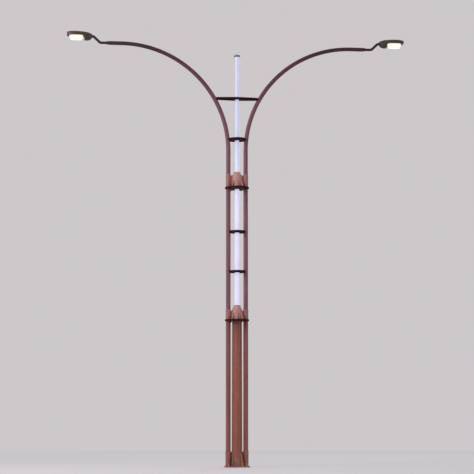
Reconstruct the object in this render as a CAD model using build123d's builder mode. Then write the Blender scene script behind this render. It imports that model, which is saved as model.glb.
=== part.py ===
from build123d import *

import os
from math import asin, atan2, cos, degrees, radians, sin, tan

# Levels above the underside of the base plate
lower_collar_level = 4215
upper_collar_level = 8075
lower_ring_levels = (5630, 6792)
upper_ring_level = 9508
spreader_level = 10718
light_top_level = 11980
arm_top_level = 12288

# Base plate and its anchor holes
base_length = 700
base_depth = 520
base_thickness = 38
base_corner = 40
base_edge_chamfer = 3
anchor_spacing_x = 510
anchor_spacing_y = 400
anchor_hole_radius = 18
cable_entry_radius = 50

# Tapered core tube
core_foot_diameter = 305
core_head_diameter = 280
core_wall = 7

# Hand hole on the far side of the core
hand_hole_level = 700
hand_hole_width = 110
hand_hole_height = 230
hand_hole_rim = 18
hand_hole_stand_off = 10
cover_thickness = 5

# Side tubes
side_offset = 254
lower_side_diameter = 139.7
middle_side_diameter = 133
side_wall = 6.3

# Arms
arm_root_diameter = 127
arm_tip_diameter = 112
arm_wall = 5.6
arm_radius = 3126
arm_reach = 3740

# Collars
collar_diameter = 700
collar_plate_thickness = 25
collar_bolt_circle_radius = 300
collar_bolt_hole_radius = 11
collar_bolts_each_side = 5
collar_bolt_first_angle = 30
collar_cable_radius = 45
collar_edge_chamfer = 2

# Socket tubes at the foot and on the collars
stub_diameter = 276
stub_neck_diameter = 220
stub_neck_height = 45
stub_cone_height = 35
stub_wall = 8
lower_stub_height = 400
upper_stub_height = 435
stub_lid_thickness = 14
socket_wall = 8
foot_socket_height = 430
lower_socket_height = 290
upper_socket_height = 380
slip_clearance = 0.5

# Stiffener plates
stiffener_thickness = 12
stiffener_nose = 12
web_drop = 20
web_slope = 30
base_stiffener_reach = 92
base_stiffener_height = 360
stub_stiffener_reach = 105
stub_stiffener_height = 200

# Lit centre tubes
lower_light_foot_diameter = 144
lower_light_head_diameter = 128
upper_light_foot_diameter = 133
upper_light_head_diameter = 106
light_wall = 6
light_clearance = 0.8

# Spacer rings and the spreader plate
ring_set_back = 8
ring_height = 56
ring_wall = 8
ring_web = 10
ring_collar_wall = 7
spreader_height = 58
spreader_middle_depth = 300
spreader_end_depth = 170
spreader_end_gap = 35

# Tip cap
cap_diameter = 190
cap_edge = 20
cap_rise = 40
cap_dome_radius = (cap_rise**2 + (cap_diameter / 2) ** 2) / (2 * cap_rise)
cap_plug_depth = 40
cap_plug_wall = 5

# Arm end sleeve and upswept tenon
sleeve_spigot = 110
sleeve_flange = 10
sleeve_cone = 55
sleeve_barrel = 25
sleeve_wall = 7
tenon_diameter = 76.1
tenon_wall = 4
tenon_lead = 272
tenon_rise = 184
tenon_run = 195
tenon_bend_radius = 90
tenon_insert = 150

# Lantern
lantern_gap = 52
lantern_wall = 5
lantern_section_places = (0, 120, 320, 552, 718)
lantern_section_widths = (134, 225, 335, 330, 200)
lantern_section_heights = (130, 236, 204, 176, 100)
lantern_section_shifts = (0, -8, 18, 34, 50)
lantern_corner_share = 0.4
lantern_boss_radius = 54
lantern_boss_length = 12
bulkhead_place = 205
bulkhead_thickness = 10
door_seat_drop = 58
frame_top_rise = 25
frame_thickness = 14
glass_length = 405
glass_width = 262
glass_corner = 112
glass_bowl_depth = 122
glass_bowl_draft = 16
glass_bowl_round = 38
glass_wall = 5
glass_clearance = 0.6
glass_end_margin = 66

# Sizes worked out from the ones above
lower_section_top = lower_collar_level - collar_plate_thickness
middle_section_foot = lower_collar_level + collar_plate_thickness
middle_section_top = upper_collar_level - collar_plate_thickness
upper_section_foot = upper_collar_level + collar_plate_thickness
bend_start_level = arm_top_level - arm_radius
cope_length = 4 * ring_height
lantern_start = arm_reach + tenon_lead + tenon_run + lantern_gap
lantern_level = arm_top_level + tenon_rise

os.makedirs("parts", exist_ok=True)


def save(piece, name):
    """Label a finished piece and write it as its own file."""
    piece.part.label = name
    export_step(piece.part, f"parts/{name}.step")


def taper(low_level, low_value, high_level, high_value, level):
    """Value at a level on a straight taper."""
    share = (level - low_level) / (high_level - low_level)
    return low_value + share * (high_value - low_value)


def core_radius(level):
    return taper(base_thickness, core_foot_diameter, lower_section_top, core_head_diameter, level) / 2


def lower_light_diameter(level):
    return taper(
        middle_section_foot,
        lower_light_foot_diameter,
        middle_section_top,
        lower_light_head_diameter,
        level,
    )


def upper_light_diameter(level):
    return taper(
        upper_section_foot,
        upper_light_foot_diameter,
        light_top_level,
        upper_light_head_diameter,
        level,
    )


def arm_lean(level):
    """Angle of the arm from the vertical at a level, in degrees."""
    return degrees(asin(max(0, level - bend_start_level) / arm_radius))


def arm_offset(level):
    """Distance of the arm's centre line from the axis at a level."""
    return side_offset + arm_radius * (1 - cos(radians(arm_lean(level))))


def arm_diameter(level):
    """Tube diameter of the arm at a level on the bend."""
    return arm_root_diameter + (arm_tip_diameter - arm_root_diameter) * arm_lean(level) / 90


def tapered_tube(foot_level, foot_diameter, head_level, head_diameter, wall):
    """Upright tube round the axis with a straight taper and an even wall."""
    with BuildPart() as tube:
        with BuildSketch(Plane.XZ):
            with BuildLine():
                Polyline(
                    (foot_diameter / 2 - wall, foot_level),
                    (foot_diameter / 2, foot_level),
                    (head_diameter / 2, head_level),
                    (head_diameter / 2 - wall, head_level),
                    close=True,
                )
            make_face()
        revolve(axis=Axis.Z)
    return tube


def side_tube(side, foot_level, head_level, diameter, wall):
    """Straight upright tube on one side of the axis."""
    with BuildPart() as tube:
        with BuildSketch(Plane.XY.offset(foot_level)):
            with Locations((side * side_offset, 0)):
                Circle(diameter / 2)
                Circle(diameter / 2 - wall, mode=Mode.SUBTRACT)
        extrude(amount=head_level - foot_level)
    return tube


def collar_plate(foot_level):
    """Round plate with a cable hole and bolt holes clear of the side tubes."""
    bolt_range = 180 - 2 * collar_bolt_first_angle
    with BuildPart() as plate:
        with BuildSketch(Plane.XY.offset(foot_level)):
            Circle(collar_diameter / 2)
            Circle(collar_cable_radius, mode=Mode.SUBTRACT)
            for half in (0, 180):
                with PolarLocations(
                    collar_bolt_circle_radius,
                    collar_bolts_each_side,
                    start_angle=half + collar_bolt_first_angle,
                    angular_range=bolt_range,
                    endpoint=True,
                ):
                    Circle(collar_bolt_hole_radius, mode=Mode.SUBTRACT)
        extrude(amount=collar_plate_thickness)
        rims = plate.edges().filter_by(GeomType.CIRCLE).sort_by(SortBy.RADIUS)[-2:]
        chamfer(rims, collar_edge_chamfer)
    return plate


def stub(foot_level, height, light_diameter):
    """Socket tube on a collar, drawn in by a cone to a neck that the lit tube passes through."""
    top = foot_level + height
    neck_foot = top - stub_neck_height
    cone_foot = neck_foot - stub_cone_height
    mouth = light_diameter / 2 + light_clearance
    with BuildPart() as tube:
        with BuildSketch(Plane.XZ):
            with BuildLine():
                Polyline(
                    (stub_diameter / 2 - stub_wall, foot_level),
                    (stub_diameter / 2, foot_level),
                    (stub_diameter / 2, cone_foot),
                    (stub_neck_diameter / 2, neck_foot),
                    (stub_neck_diameter / 2, top),
                    (mouth, top),
                    (mouth, top - stub_lid_thickness),
                    (stub_neck_diameter / 2 - stub_wall, top - stub_lid_thickness),
                    (stub_neck_diameter / 2 - stub_wall, neck_foot),
                    (stub_diameter / 2 - stub_wall, cone_foot),
                    close=True,
                )
            make_face()
        revolve(axis=Axis.Z)
    return tube


def socket(side, foot_level, height, tube_diameter):
    """Short outer sleeve that a side tube stands in."""
    return side_tube(
        side,
        foot_level,
        foot_level + height,
        tube_diameter + 2 * (slip_clearance + socket_wall),
        socket_wall,
    )


def stiffeners(foot_level, radius_at, socket_height, tube_diameter, reach, height, triangle_angles):
    """Webs to the side sockets and triangular plates between them, round a centre tube."""
    web_end = side_offset - tube_diameter / 2 - slip_clearance - socket_wall
    web_head = foot_level + socket_height - web_drop
    triangle_head = foot_level + height
    inner_low = radius_at(foot_level)
    with BuildPart() as plates:
        for angle in (0, 180):
            with BuildSketch(Plane.XZ.rotated((0, 0, angle))):
                with BuildLine():
                    Polyline(
                        (inner_low, foot_level),
                        (web_end, foot_level),
                        (web_end, web_head - web_slope),
                        (radius_at(web_head) + stiffener_nose, web_head),
                        (radius_at(web_head), web_head),
                        close=True,
                    )
                make_face()
            extrude(amount=stiffener_thickness / 2, both=True)
        for angle in triangle_angles:
            with BuildSketch(Plane.XZ.rotated((0, 0, angle))):
                with BuildLine():
                    Polyline(
                        (inner_low, foot_level),
                        (inner_low + reach, foot_level),
                        (inner_low + reach, foot_level + stiffener_nose),
                        (radius_at(triangle_head) + stiffener_nose, triangle_head),
                        (radius_at(triangle_head), triangle_head),
                        close=True,
                    )
                make_face()
            extrude(amount=stiffener_thickness / 2, both=True)
    return plates


def arm_form(root_radius, tip_radius):
    """Solid arm on the right: riser, tapering quarter bend and level end."""
    with BuildPart() as form:
        with BuildSketch(Plane.XY.offset(upper_section_foot)):
            with Locations((side_offset, 0)):
                Circle(root_radius)
        extrude(amount=bend_start_level - upper_section_foot)
        with BuildLine(Plane.XZ) as bend:
            CenterArc((side_offset + arm_radius, bend_start_level), arm_radius, 180, -90)
        with BuildSketch(Plane(origin=(side_offset, 0, bend_start_level), z_dir=(0, 0, 1))):
            Circle(root_radius)
        with BuildSketch(Plane(origin=(side_offset + arm_radius, 0, arm_top_level), z_dir=(1, 0, 0))):
            Circle(tip_radius)
        sweep(path=bend.line, multisection=True)
        with BuildSketch(Plane(origin=(side_offset + arm_radius, 0, arm_top_level), z_dir=(1, 0, 0))):
            Circle(tip_radius)
        extrude(amount=arm_reach - side_offset - arm_radius)
    return form


def side_places(level, offset, lean):
    """Places of both side tubes at a level, each turned outward by the tube's lean."""
    return [Location((side * offset, 0, level), (0, side * lean, 0)) for side in (-1, 1)]


def spacer(level, light_diameter, offset, diameter, lean):
    """Round flanged disc that fits between the side tubes, with a web and a centre collar."""
    hole_radius = diameter / 2 + slip_clearance
    lean_room = ring_height / 2 * tan(radians(lean))
    disc_radius = offset - ring_set_back
    foot = level - ring_height / 2
    with BuildPart() as ring:
        with Locations((0, 0, level)):
            Cylinder(disc_radius, ring_height)
        pocket_depth = (ring_height - ring_web) / 2
        for pocket_level in (foot, level + ring_web / 2):
            with BuildSketch(Plane.XY.offset(pocket_level)):
                Circle(disc_radius - ring_wall)
                Circle(light_diameter / 2 + light_clearance + ring_collar_wall, mode=Mode.SUBTRACT)
                with Locations((-offset, 0), (offset, 0)):
                    Circle(hole_radius + lean_room + ring_wall, mode=Mode.SUBTRACT)
            extrude(amount=pocket_depth, mode=Mode.SUBTRACT)
        with Locations((0, 0, level)):
            Cylinder(light_diameter / 2 + light_clearance, ring_height, mode=Mode.SUBTRACT)
        with Locations(*side_places(level, offset, lean)):
            Cylinder(hole_radius, cope_length, mode=Mode.SUBTRACT)
    return ring


def spreader(level, light_diameter):
    """Long flanged plate whose ends are coped to the leaning arms."""
    offset = arm_offset(level)
    lean = arm_lean(level)
    hole_radius = arm_diameter(level) / 2 + slip_clearance
    foot = level - spreader_height / 2
    end_radius = spreader_end_depth / 2
    end_place = offset - spreader_end_gap - end_radius
    with BuildPart() as plate:
        with BuildSketch(Plane.XY.offset(foot)) as outline:
            Circle(spreader_middle_depth / 2)
            with Locations((-end_place, 0), (end_place, 0)):
                Circle(end_radius)
            make_hull()
        extrude(amount=spreader_height)
        pocket_depth = (spreader_height - ring_web) / 2
        for pocket_level in (foot, level + ring_web / 2):
            with BuildSketch(Plane.XY.offset(pocket_level)):
                Circle(spreader_middle_depth / 2 - ring_wall)
                with Locations((-end_place, 0), (end_place, 0)):
                    Circle(end_radius - ring_wall)
                make_hull()
                Circle(light_diameter / 2 + light_clearance + ring_collar_wall, mode=Mode.SUBTRACT)
            extrude(amount=pocket_depth, mode=Mode.SUBTRACT)
        with Locations((0, 0, level)):
            Cylinder(light_diameter / 2 + light_clearance, spreader_height, mode=Mode.SUBTRACT)
        with Locations(*side_places(level, offset, lean)):
            Cylinder(hole_radius, cope_length, mode=Mode.SUBTRACT)
    return plate


def lantern_form(inset):
    """Smooth closed body of the right lantern, drawn in by an inset."""
    places = [lantern_start + place for place in lantern_section_places]
    places[0] += inset
    places[-1] -= inset
    with BuildPart() as form:
        for place, width, height, shift in zip(
            places, lantern_section_widths, lantern_section_heights, lantern_section_shifts
        ):
            centre = (place, 0, lantern_level + shift)
            with BuildSketch(Plane(origin=centre, x_dir=(0, 1, 0), z_dir=(1, 0, 0))):
                RectangleRounded(
                    width - 2 * inset, height - 2 * inset, height * lantern_corner_share - inset
                )
        loft()
    return form


def bowl_form(level, place, length, width, corner, depth, draft, bottom_round):
    """Solid rounded block that narrows downward from a level."""
    with BuildPart() as form:
        with BuildSketch(Plane.XY.offset(level)):
            with Locations((place, 0)):
                RectangleRounded(length, width, corner)
        extrude(amount=-depth, taper=draft)
        fillet(form.faces().sort_by(Axis.Z)[0].edges(), bottom_round)
    return form


# Base plate
with BuildPart() as base_plate:
    with BuildSketch():
        RectangleRounded(base_length, base_depth, base_corner)
        Circle(cable_entry_radius, mode=Mode.SUBTRACT)
        with GridLocations(anchor_spacing_x, anchor_spacing_y, 2, 2):
            Circle(anchor_hole_radius, mode=Mode.SUBTRACT)
        with GridLocations(0, anchor_spacing_y, 1, 2):
            Circle(anchor_hole_radius, mode=Mode.SUBTRACT)
    extrude(amount=base_thickness)
    top_rim = base_plate.faces().sort_by(Axis.Z)[-1].outer_wire().edges()
    chamfer(top_rim, base_edge_chamfer)
save(base_plate, "base_plate")

# Stiffeners at the foot
base_stiffeners = stiffeners(
    base_thickness,
    core_radius,
    foot_socket_height,
    lower_side_diameter,
    base_stiffener_reach,
    base_stiffener_height,
    (45, 135, 225, 315),
)
save(base_stiffeners, "base_stiffeners")

# Core tube with its framed hand hole
core_shell = tapered_tube(
    base_thickness, core_foot_diameter, lower_section_top, core_head_diameter, core_wall
)
rim_face = core_radius(hand_hole_level) + hand_hole_stand_off
with BuildPart() as core_mast:
    add(core_shell.part)
    with BuildSketch(Plane(origin=(0, rim_face, hand_hole_level), x_dir=(0, 0, 1), z_dir=(0, 1, 0))):
        SlotOverall(hand_hole_height + 2 * hand_hole_rim, hand_hole_width + 2 * hand_hole_rim)
    extrude(amount=-core_radius(hand_hole_level), mode=Mode.ADD)
    with Locations((0, 0, base_thickness)):
        Cone(
            core_foot_diameter / 2 - core_wall,
            core_head_diameter / 2 - core_wall,
            lower_section_top - base_thickness,
            align=(Align.CENTER, Align.CENTER, Align.MIN),
            mode=Mode.SUBTRACT,
        )
    with BuildSketch(Plane(origin=(0, rim_face, hand_hole_level), x_dir=(0, 0, 1), z_dir=(0, 1, 0))):
        SlotOverall(hand_hole_height, hand_hole_width)
    extrude(amount=-core_radius(hand_hole_level), mode=Mode.SUBTRACT)
save(core_mast, "core_mast")

with BuildPart() as hand_hole_cover:
    with BuildSketch(Plane(origin=(0, rim_face, hand_hole_level), x_dir=(0, 0, 1), z_dir=(0, 1, 0))):
        SlotOverall(hand_hole_height + 2 * hand_hole_rim, hand_hole_width + 2 * hand_hole_rim)
    extrude(amount=cover_thickness)
    chamfer(hand_hole_cover.faces().sort_by(Axis.Y)[-1].edges(), cover_thickness / 3)
save(hand_hole_cover, "hand_hole_cover")

# Side tubes, sockets and arms on each side
arm_outside = arm_form(arm_root_diameter / 2, arm_tip_diameter / 2)
arm_bore = arm_form(arm_root_diameter / 2 - arm_wall, arm_tip_diameter / 2 - arm_wall)
with BuildPart() as right_arm:
    add(arm_outside.part)
    add(arm_bore.part, mode=Mode.SUBTRACT)
save(right_arm, "right_arm")
with BuildPart() as left_arm:
    mirror(right_arm.part, about=Plane.YZ)
save(left_arm, "left_arm")

for side, side_name in ((-1, "left"), (1, "right")):
    save(
        side_tube(side, base_thickness, lower_section_top, lower_side_diameter, side_wall),
        f"{side_name}_lower_post",
    )
    save(
        side_tube(side, middle_section_foot, middle_section_top, middle_side_diameter, side_wall),
        f"{side_name}_middle_post",
    )
    save(
        socket(side, base_thickness, foot_socket_height, lower_side_diameter),
        f"{side_name}_foot_socket",
    )
    save(
        socket(side, middle_section_foot, lower_socket_height, middle_side_diameter),
        f"{side_name}_post_socket",
    )
    save(
        socket(side, upper_section_foot, upper_socket_height, arm_root_diameter),
        f"{side_name}_arm_socket",
    )

# Collars
save(collar_plate(lower_section_top), "lower_collar_bottom_plate")
save(collar_plate(lower_collar_level), "lower_collar_top_plate")
save(collar_plate(middle_section_top), "upper_collar_bottom_plate")
save(collar_plate(upper_collar_level), "upper_collar_top_plate")


def stub_radius(level):
    return stub_diameter / 2


for name, foot_level, height, socket_height, tube_diameter, light_diameter in (
    (
        "lower",
        middle_section_foot,
        lower_stub_height,
        lower_socket_height,
        middle_side_diameter,
        lower_light_diameter(middle_section_foot + lower_stub_height),
    ),
    (
        "upper",
        upper_section_foot,
        upper_stub_height,
        upper_socket_height,
        arm_root_diameter,
        upper_light_diameter(upper_section_foot + upper_stub_height),
    ),
):
    save(stub(foot_level, height, light_diameter), f"{name}_stub")
    plates = stiffeners(
        foot_level,
        stub_radius,
        socket_height,
        tube_diameter,
        stub_stiffener_reach,
        stub_stiffener_height,
        (45, 90, 135, 225, 270, 315),
    )
    save(plates, f"{name}_stub_stiffeners")

# Lit tubes
lower_light = tapered_tube(
    middle_section_foot,
    lower_light_foot_diameter,
    middle_section_top - light_clearance,
    lower_light_head_diameter,
    light_wall,
)
save(lower_light, "lower_light_tube")
upper_light = tapered_tube(
    upper_section_foot,
    upper_light_foot_diameter,
    light_top_level,
    upper_light_head_diameter,
    light_wall,
)
save(upper_light, "upper_light_tube")

# Spacer rings and spreader
for number, level in enumerate(lower_ring_levels, start=1):
    light_diameter = lower_light_diameter(level - ring_height / 2)
    ring = spacer(level, light_diameter, side_offset, middle_side_diameter, 0)
    save(ring, f"spacer_ring_{number}")
ring = spacer(
    upper_ring_level,
    upper_light_diameter(upper_ring_level - ring_height / 2),
    arm_offset(upper_ring_level),
    arm_diameter(upper_ring_level - ring_height),
    arm_lean(upper_ring_level),
)
save(ring, "spacer_ring_3")
light_diameter = upper_light_diameter(spreader_level - spreader_height / 2)
save(spreader(spreader_level, light_diameter), "spreader_plate")

# Tip cap
plug_radius = upper_light_head_diameter / 2 - light_wall - light_clearance
with BuildPart() as tip_cap:
    with BuildSketch(Plane.XZ):
        with BuildLine():
            rim = Polyline(
                (0, light_top_level),
                (plug_radius - cap_plug_wall, light_top_level),
                (plug_radius - cap_plug_wall, light_top_level - cap_plug_depth),
                (plug_radius, light_top_level - cap_plug_depth),
                (plug_radius, light_top_level),
                (cap_diameter / 2, light_top_level),
                (cap_diameter / 2, light_top_level + cap_edge),
            )
            dome = RadiusArc(rim @ 1, (0, light_top_level + cap_edge + cap_rise), -cap_dome_radius)
            Line(dome @ 1, rim @ 0)
        make_face()
    revolve(axis=Axis.Z)
save(tip_cap, "tip_cap")

# Right arm end sleeve
spigot_start = arm_reach - sleeve_spigot
cone_start = arm_reach + sleeve_flange
cone_end = cone_start + sleeve_cone
sleeve_bore = tenon_diameter / 2 + slip_clearance
with BuildPart() as arm_sleeve:
    with BuildSketch(Plane.XZ):
        with BuildLine():
            Polyline(
                (spigot_start, arm_top_level + sleeve_bore),
                (spigot_start, arm_top_level + arm_tip_diameter / 2 - arm_wall - slip_clearance),
                (arm_reach, arm_top_level + arm_tip_diameter / 2 - arm_wall - slip_clearance),
                (arm_reach, arm_top_level + arm_tip_diameter / 2),
                (cone_start, arm_top_level + arm_tip_diameter / 2),
                (cone_end, arm_top_level + sleeve_bore + sleeve_wall),
                (cone_end + sleeve_barrel, arm_top_level + sleeve_bore + sleeve_wall),
                (cone_end + sleeve_barrel, arm_top_level + sleeve_bore),
                close=True,
            )
        make_face()
    revolve(axis=Axis((0, 0, arm_top_level), (1, 0, 0)))

# Right upswept tenon
with BuildPart() as tenon:
    with BuildLine(Plane.XZ) as tenon_path:
        FilletPolyline(
            (spigot_start, arm_top_level),
            (arm_reach + tenon_lead, arm_top_level),
            (arm_reach + tenon_lead + tenon_run, lantern_level),
            (lantern_start + tenon_insert, lantern_level),
            radius=tenon_bend_radius,
        )
    with BuildSketch(Plane(origin=(spigot_start, 0, arm_top_level), z_dir=(1, 0, 0))):
        Circle(tenon_diameter / 2)
        Circle(tenon_diameter / 2 - tenon_wall, mode=Mode.SUBTRACT)
    sweep(path=tenon_path.line)

# Right lantern
body_outside = lantern_form(0)
body_inside = lantern_form(lantern_wall)
bulkhead_start = lantern_start + bulkhead_place
bulkhead_end = bulkhead_start + bulkhead_thickness
lantern_end = lantern_start + lantern_section_places[-1]
frame_top = lantern_level + frame_top_rise
frame_foot = frame_top - frame_thickness
door_seat = lantern_level - door_seat_drop
glass_centre = lantern_end - glass_end_margin - glass_length / 2
body_room = 2 * max(lantern_section_widths)

# Hollow of the body on both sides of its bulkhead
with BuildPart() as hollow:
    add(body_inside.part)
    with Locations((bulkhead_start, 0, lantern_level)):
        Box(
            bulkhead_thickness,
            body_room,
            body_room,
            align=(Align.MIN, Align.CENTER, Align.CENTER),
            mode=Mode.SUBTRACT,
        )

with BuildPart() as lantern_housing:
    add(body_outside.part)
    with Locations(Location((lantern_start, 0, lantern_level), (0, -90, 0))):
        Cylinder(
            lantern_boss_radius,
            lantern_boss_length,
            align=(Align.CENTER, Align.CENTER, Align.MIN),
        )
    with Locations((bulkhead_end, 0, frame_top)):
        Box(
            lantern_end,
            body_room,
            body_room,
            align=(Align.MIN, Align.CENTER, Align.MAX),
            mode=Mode.SUBTRACT,
        )
    with Locations((bulkhead_end, 0, door_seat)):
        Box(
            lantern_end,
            body_room,
            body_room,
            align=(Align.MAX, Align.CENTER, Align.MAX),
            mode=Mode.SUBTRACT,
        )
    add(hollow.part, mode=Mode.SUBTRACT)
    with Locations(Location((lantern_start - lantern_boss_length, 0, lantern_level), (0, 90, 0))):
        Cylinder(
            tenon_diameter / 2 + slip_clearance,
            lantern_boss_length + tenon_insert,
            align=(Align.CENTER, Align.CENTER, Align.MIN),
            mode=Mode.SUBTRACT,
        )

with BuildPart() as glass_frame:
    add(body_outside.part)
    with Locations((bulkhead_end, 0, frame_foot)):
        Box(
            lantern_end,
            body_room,
            frame_thickness,
            align=(Align.MIN, Align.CENTER, Align.MIN),
            mode=Mode.INTERSECT,
        )
    with BuildSketch(Plane.XY.offset(frame_foot)):
        with Locations((glass_centre, 0)):
            RectangleRounded(
                glass_length + 2 * glass_clearance,
                glass_width + 2 * glass_clearance,
                glass_corner + glass_clearance,
            )
    extrude(amount=frame_thickness, mode=Mode.SUBTRACT)

glass_outside = bowl_form(
    frame_foot,
    glass_centre,
    glass_length,
    glass_width,
    glass_corner,
    glass_bowl_depth,
    glass_bowl_draft,
    glass_bowl_round,
)
glass_inside = bowl_form(
    frame_foot,
    glass_centre,
    glass_length - 2 * glass_wall,
    glass_width - 2 * glass_wall,
    glass_corner - glass_wall,
    glass_bowl_depth - glass_wall,
    glass_bowl_draft,
    glass_bowl_round - glass_wall,
)
with BuildPart() as drop_glass:
    add(glass_outside.part)
    with BuildSketch(Plane.XY.offset(frame_foot)):
        with Locations((glass_centre, 0)):
            RectangleRounded(glass_length, glass_width, glass_corner)
    extrude(amount=frame_thickness)
    add(glass_inside.part, mode=Mode.SUBTRACT)
    with BuildSketch(Plane.XY.offset(frame_foot)):
        with Locations((glass_centre, 0)):
            RectangleRounded(
                glass_length - 2 * glass_wall, glass_width - 2 * glass_wall, glass_corner - glass_wall
            )
    extrude(amount=frame_thickness, mode=Mode.SUBTRACT)

with BuildPart() as driver_door:
    add(body_outside.part)
    with Locations((bulkhead_end, 0, door_seat)):
        Box(
            lantern_end,
            body_room,
            body_room,
            align=(Align.MAX, Align.CENTER, Align.MAX),
            mode=Mode.INTERSECT,
        )
    add(hollow.part, mode=Mode.SUBTRACT)

for name, piece in (
    ("arm_sleeve", arm_sleeve),
    ("tenon", tenon),
    ("lantern_housing", lantern_housing),
    ("glass_frame", glass_frame),
    ("drop_glass", drop_glass),
    ("driver_door", driver_door),
):
    save(piece, f"right_{name}")
    with BuildPart() as twin:
        mirror(piece.part, about=Plane.YZ)
    save(twin, f"left_{name}")
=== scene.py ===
import math

import bmesh
import bpy
from mathutils import Euler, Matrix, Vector


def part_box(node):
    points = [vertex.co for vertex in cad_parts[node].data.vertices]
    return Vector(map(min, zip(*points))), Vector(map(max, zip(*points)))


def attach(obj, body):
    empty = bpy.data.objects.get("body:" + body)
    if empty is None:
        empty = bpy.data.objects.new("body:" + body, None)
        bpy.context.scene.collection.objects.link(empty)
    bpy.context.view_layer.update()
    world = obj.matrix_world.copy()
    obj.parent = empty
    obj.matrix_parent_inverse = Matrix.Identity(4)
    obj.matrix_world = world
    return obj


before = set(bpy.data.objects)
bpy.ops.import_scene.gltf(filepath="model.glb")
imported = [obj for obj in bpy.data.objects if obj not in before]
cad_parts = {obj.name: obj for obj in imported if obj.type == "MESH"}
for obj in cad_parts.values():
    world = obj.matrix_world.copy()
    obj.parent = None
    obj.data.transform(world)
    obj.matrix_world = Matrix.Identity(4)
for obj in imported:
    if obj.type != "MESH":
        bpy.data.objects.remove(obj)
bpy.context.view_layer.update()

print("frame loaded:", len(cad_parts), "nodes")

collarNames = ("lower", "upper")
sides = {"left": -1, "right": 1}

# Hands-on helpers
facing = 0.9  # least part of a face's normal along the direction asked for
smoothAngle = 35  # degrees, flatter edges are shaded smooth


def clearSelection():
    bpy.ops.object.select_all(action="DESELECT")


def takeHold(piece):
    clearSelection()
    piece.select_set(True)
    bpy.context.view_layer.objects.active = piece


def shapeFaces(piece, pick, work):  # picks faces by place or normal, then works on them
    takeHold(piece)
    bpy.ops.object.mode_set(mode="EDIT")
    bpy.ops.mesh.select_mode(type="FACE")
    bpy.ops.mesh.select_all(action="DESELECT")
    editMesh = bmesh.from_edit_mesh(piece.data)
    for face in editMesh.faces:
        face.select_set(pick(face))
    bmesh.update_edit_mesh(piece.data)
    work()
    bpy.ops.object.mode_set(mode="OBJECT")


def bevelPiece(piece, width, segments=2, angle=40):
    takeHold(piece)
    edges = piece.modifiers.new("edges", "BEVEL")
    edges.width = width
    edges.segments = segments
    edges.limit_method = "ANGLE"
    edges.angle_limit = math.radians(angle)
    bpy.ops.object.modifier_apply(modifier=edges.name)
    bpy.ops.object.shade_smooth_by_angle(angle=math.radians(smoothAngle))


def scalePiece(piece, factors):
    piece.scale = factors
    bpy.ops.object.transform_apply(location=False, rotation=False, scale=True)


def addRound(radius, depth, place, sideCount, turn=(0, 0, 0)):
    clearSelection()
    bpy.ops.mesh.primitive_cylinder_add(
        vertices=sideCount, radius=radius, depth=depth, location=place, rotation=turn
    )
    return bpy.context.object


def addRing(radius, bead, place, around, across):  # around and across count its faces
    clearSelection()
    bpy.ops.mesh.primitive_torus_add(
        major_radius=radius, minor_radius=bead, location=place,
        major_segments=around, minor_segments=across,
    )
    return bpy.context.object


def joinPieces(pieces, name):
    clearSelection()
    for piece in pieces:
        piece.select_set(True)
    bpy.context.view_layer.objects.active = pieces[0]
    if len(pieces) > 1:
        bpy.ops.object.join()
    bpy.ops.object.transform_apply(location=True, rotation=True, scale=True)
    piece = bpy.context.object
    piece.name = name
    piece.data.name = name
    return piece


def copiesAt(model, places, turns):  # each copy has its own mesh
    copies = []
    for place, turn in zip(places, turns):
        takeHold(model)
        bpy.ops.object.duplicate(linked=False)
        twin = bpy.context.object
        twin.location = place
        twin.rotation_euler = turn
        copies.append(twin)
    return copies


def dropModel(model):
    bpy.data.objects.remove(model, do_unlink=True)


def finishPiece(pieces, name, materialName):  # one named piece in its material, on its body
    piece = joinPieces(pieces, name)
    piece.data.materials.clear()
    piece.data.materials.append(materials[materialName])
    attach(piece, "root")


# Shared effects
mixSockets = {"factor": 0, "first": 6, "second": 7, "result": 2}  # of a Mix node that mixes colours


def addNode(tree, kind, **settings):
    node = tree.nodes.new(kind)
    for label, value in settings.items():
        setattr(node, label, value)
    return node


def feed(tree, node, values):  # sets a node's inputs, each by a link or by a plain value
    for label, value in values.items():
        if isinstance(value, bpy.types.NodeSocket):
            tree.links.new(value, node.inputs[label])
        else:
            node.inputs[label].default_value = value


def objectPlace(tree):
    return addNode(tree, "ShaderNodeTexCoord").outputs["Object"]


def stretchOf(tree, place, scale):
    mapping = addNode(tree, "ShaderNodeMapping")
    feed(tree, mapping, {"Vector": place, "Scale": scale})
    return mapping.outputs["Vector"]


def axisOf(tree, place, axis):
    parts = addNode(tree, "ShaderNodeSeparateXYZ")
    feed(tree, parts, {"Vector": place})
    return parts.outputs[axis]


def noiseIn(tree, place, scale, detail, roughness):
    noise = addNode(tree, "ShaderNodeTexNoise")
    feed(tree, noise, {"Vector": place, "Scale": scale, "Detail": detail, "Roughness": roughness})
    return noise.outputs["Fac"]


def rangeOf(tree, value, low, high, toLow=0.0, toHigh=1.0):
    mapped = addNode(tree, "ShaderNodeMapRange", clamp=True)
    limits = {"From Min": low, "From Max": high, "To Min": toLow, "To Max": toHigh}
    feed(tree, mapped, {"Value": value, **limits})
    return mapped.outputs["Result"]


def mathOf(tree, operation, *values):
    node = addNode(tree, "ShaderNodeMath", operation=operation)
    feed(tree, node, dict(enumerate(values)))
    return node.outputs["Value"]


def productOf(tree, first, *others):
    for other in others:
        first = mathOf(tree, "MULTIPLY", first, other)
    return first


def mixOf(tree, factor, first, second):
    node = addNode(tree, "ShaderNodeMix", data_type="RGBA")
    values = {"factor": factor, "first": first, "second": second}
    feed(tree, node, {mixSockets[label]: value for label, value in values.items()})
    return node.outputs[mixSockets["result"]]


def addBump(tree, shader, height, strength, distance):
    bump = addNode(tree, "ShaderNodeBump")
    feed(tree, bump, {"Height": height, "Strength": strength, "Distance": distance})
    feed(tree, shader, {"Normal": bump.outputs["Normal"]})


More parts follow.
